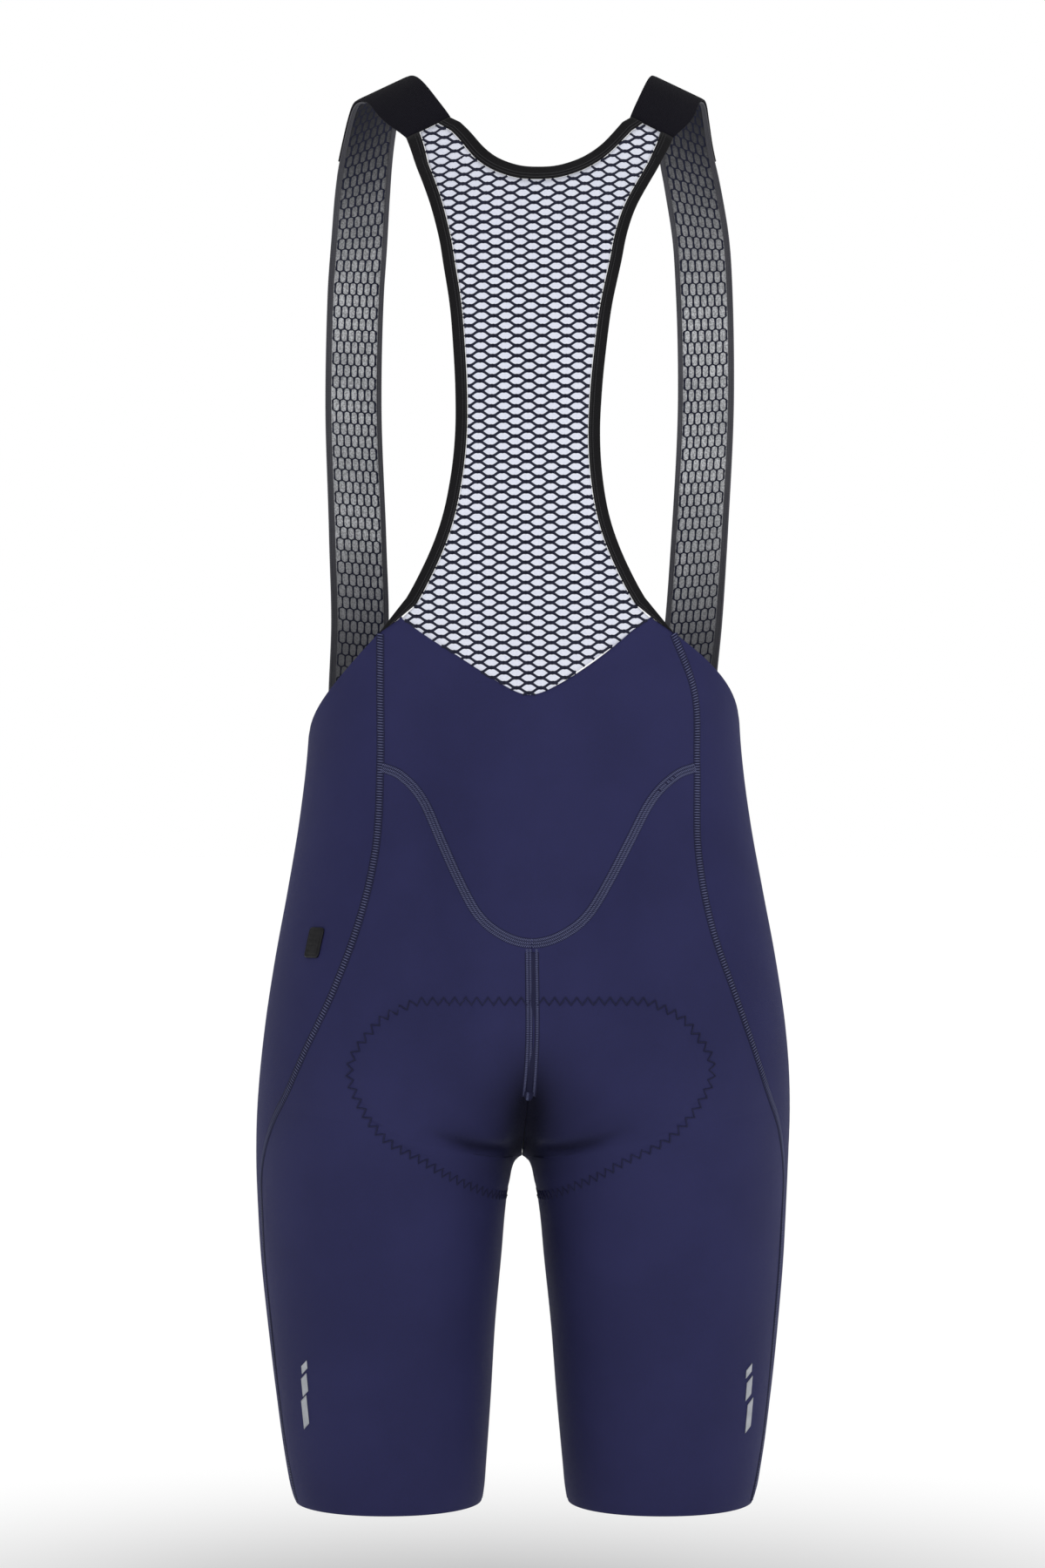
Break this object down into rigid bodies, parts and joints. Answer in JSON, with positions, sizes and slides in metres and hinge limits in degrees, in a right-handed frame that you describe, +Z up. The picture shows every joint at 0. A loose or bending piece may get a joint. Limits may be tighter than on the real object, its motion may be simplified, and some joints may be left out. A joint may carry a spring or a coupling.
{
  "type": "cycling bib shorts",
  "caption": "Stretch cycling shorts with a padded seat, held up by a mesh back panel and two elastic shoulder straps, in the shape of the worn garment.",
  "frame": {"origin": "midway between the shoulders, at the height of the highest underside of the shoulder straps, where the wearer's shoulders carry the garment", "axes": "+Z up along the worn garment, +Y towards the wearer's back, +X towards the wearer's left"},
  "size_m": [0.3445, 0.233, 0.9216],
  "materials": {
    "shorts": "matte dark navy stretch knit with a soft sheen",
    "mesh": "pale lavender knit behind a net of fine dark navy strands",
    "binding": "black folded elastic tape with fine ribs",
    "strap": "grey melange elastic with a dark knitted net and ribbed dark edges",
    "tab": "matte black knit",
    "pad": "soft brushed pad cover",
    "label": "matte black raised rubber",
    "reflector": "silver grey reflective film"
  },
  "bodies": {
    "root": {"back_yoke": "shorts", "back_leg_left": "shorts", "back_leg_right": "shorts", "front_leg_left": "shorts", "front_leg_right": "shorts", "seat_pad": "pad", "mesh_back": "mesh", "neck_binding": "binding", "side_binding_left": "binding", "side_binding_right": "binding", "strap_left": "strap", "strap_right": "strap", "shoulder_tab_left": "tab", "shoulder_tab_right": "tab", "hip_label": "label", "reflector_left_1": "reflector", "reflector_left_2": "reflector", "reflector_left_3": "reflector", "reflector_right_1": "reflector", "reflector_right_2": "reflector", "reflector_right_3": "reflector"}
  },
  "joints": []
}
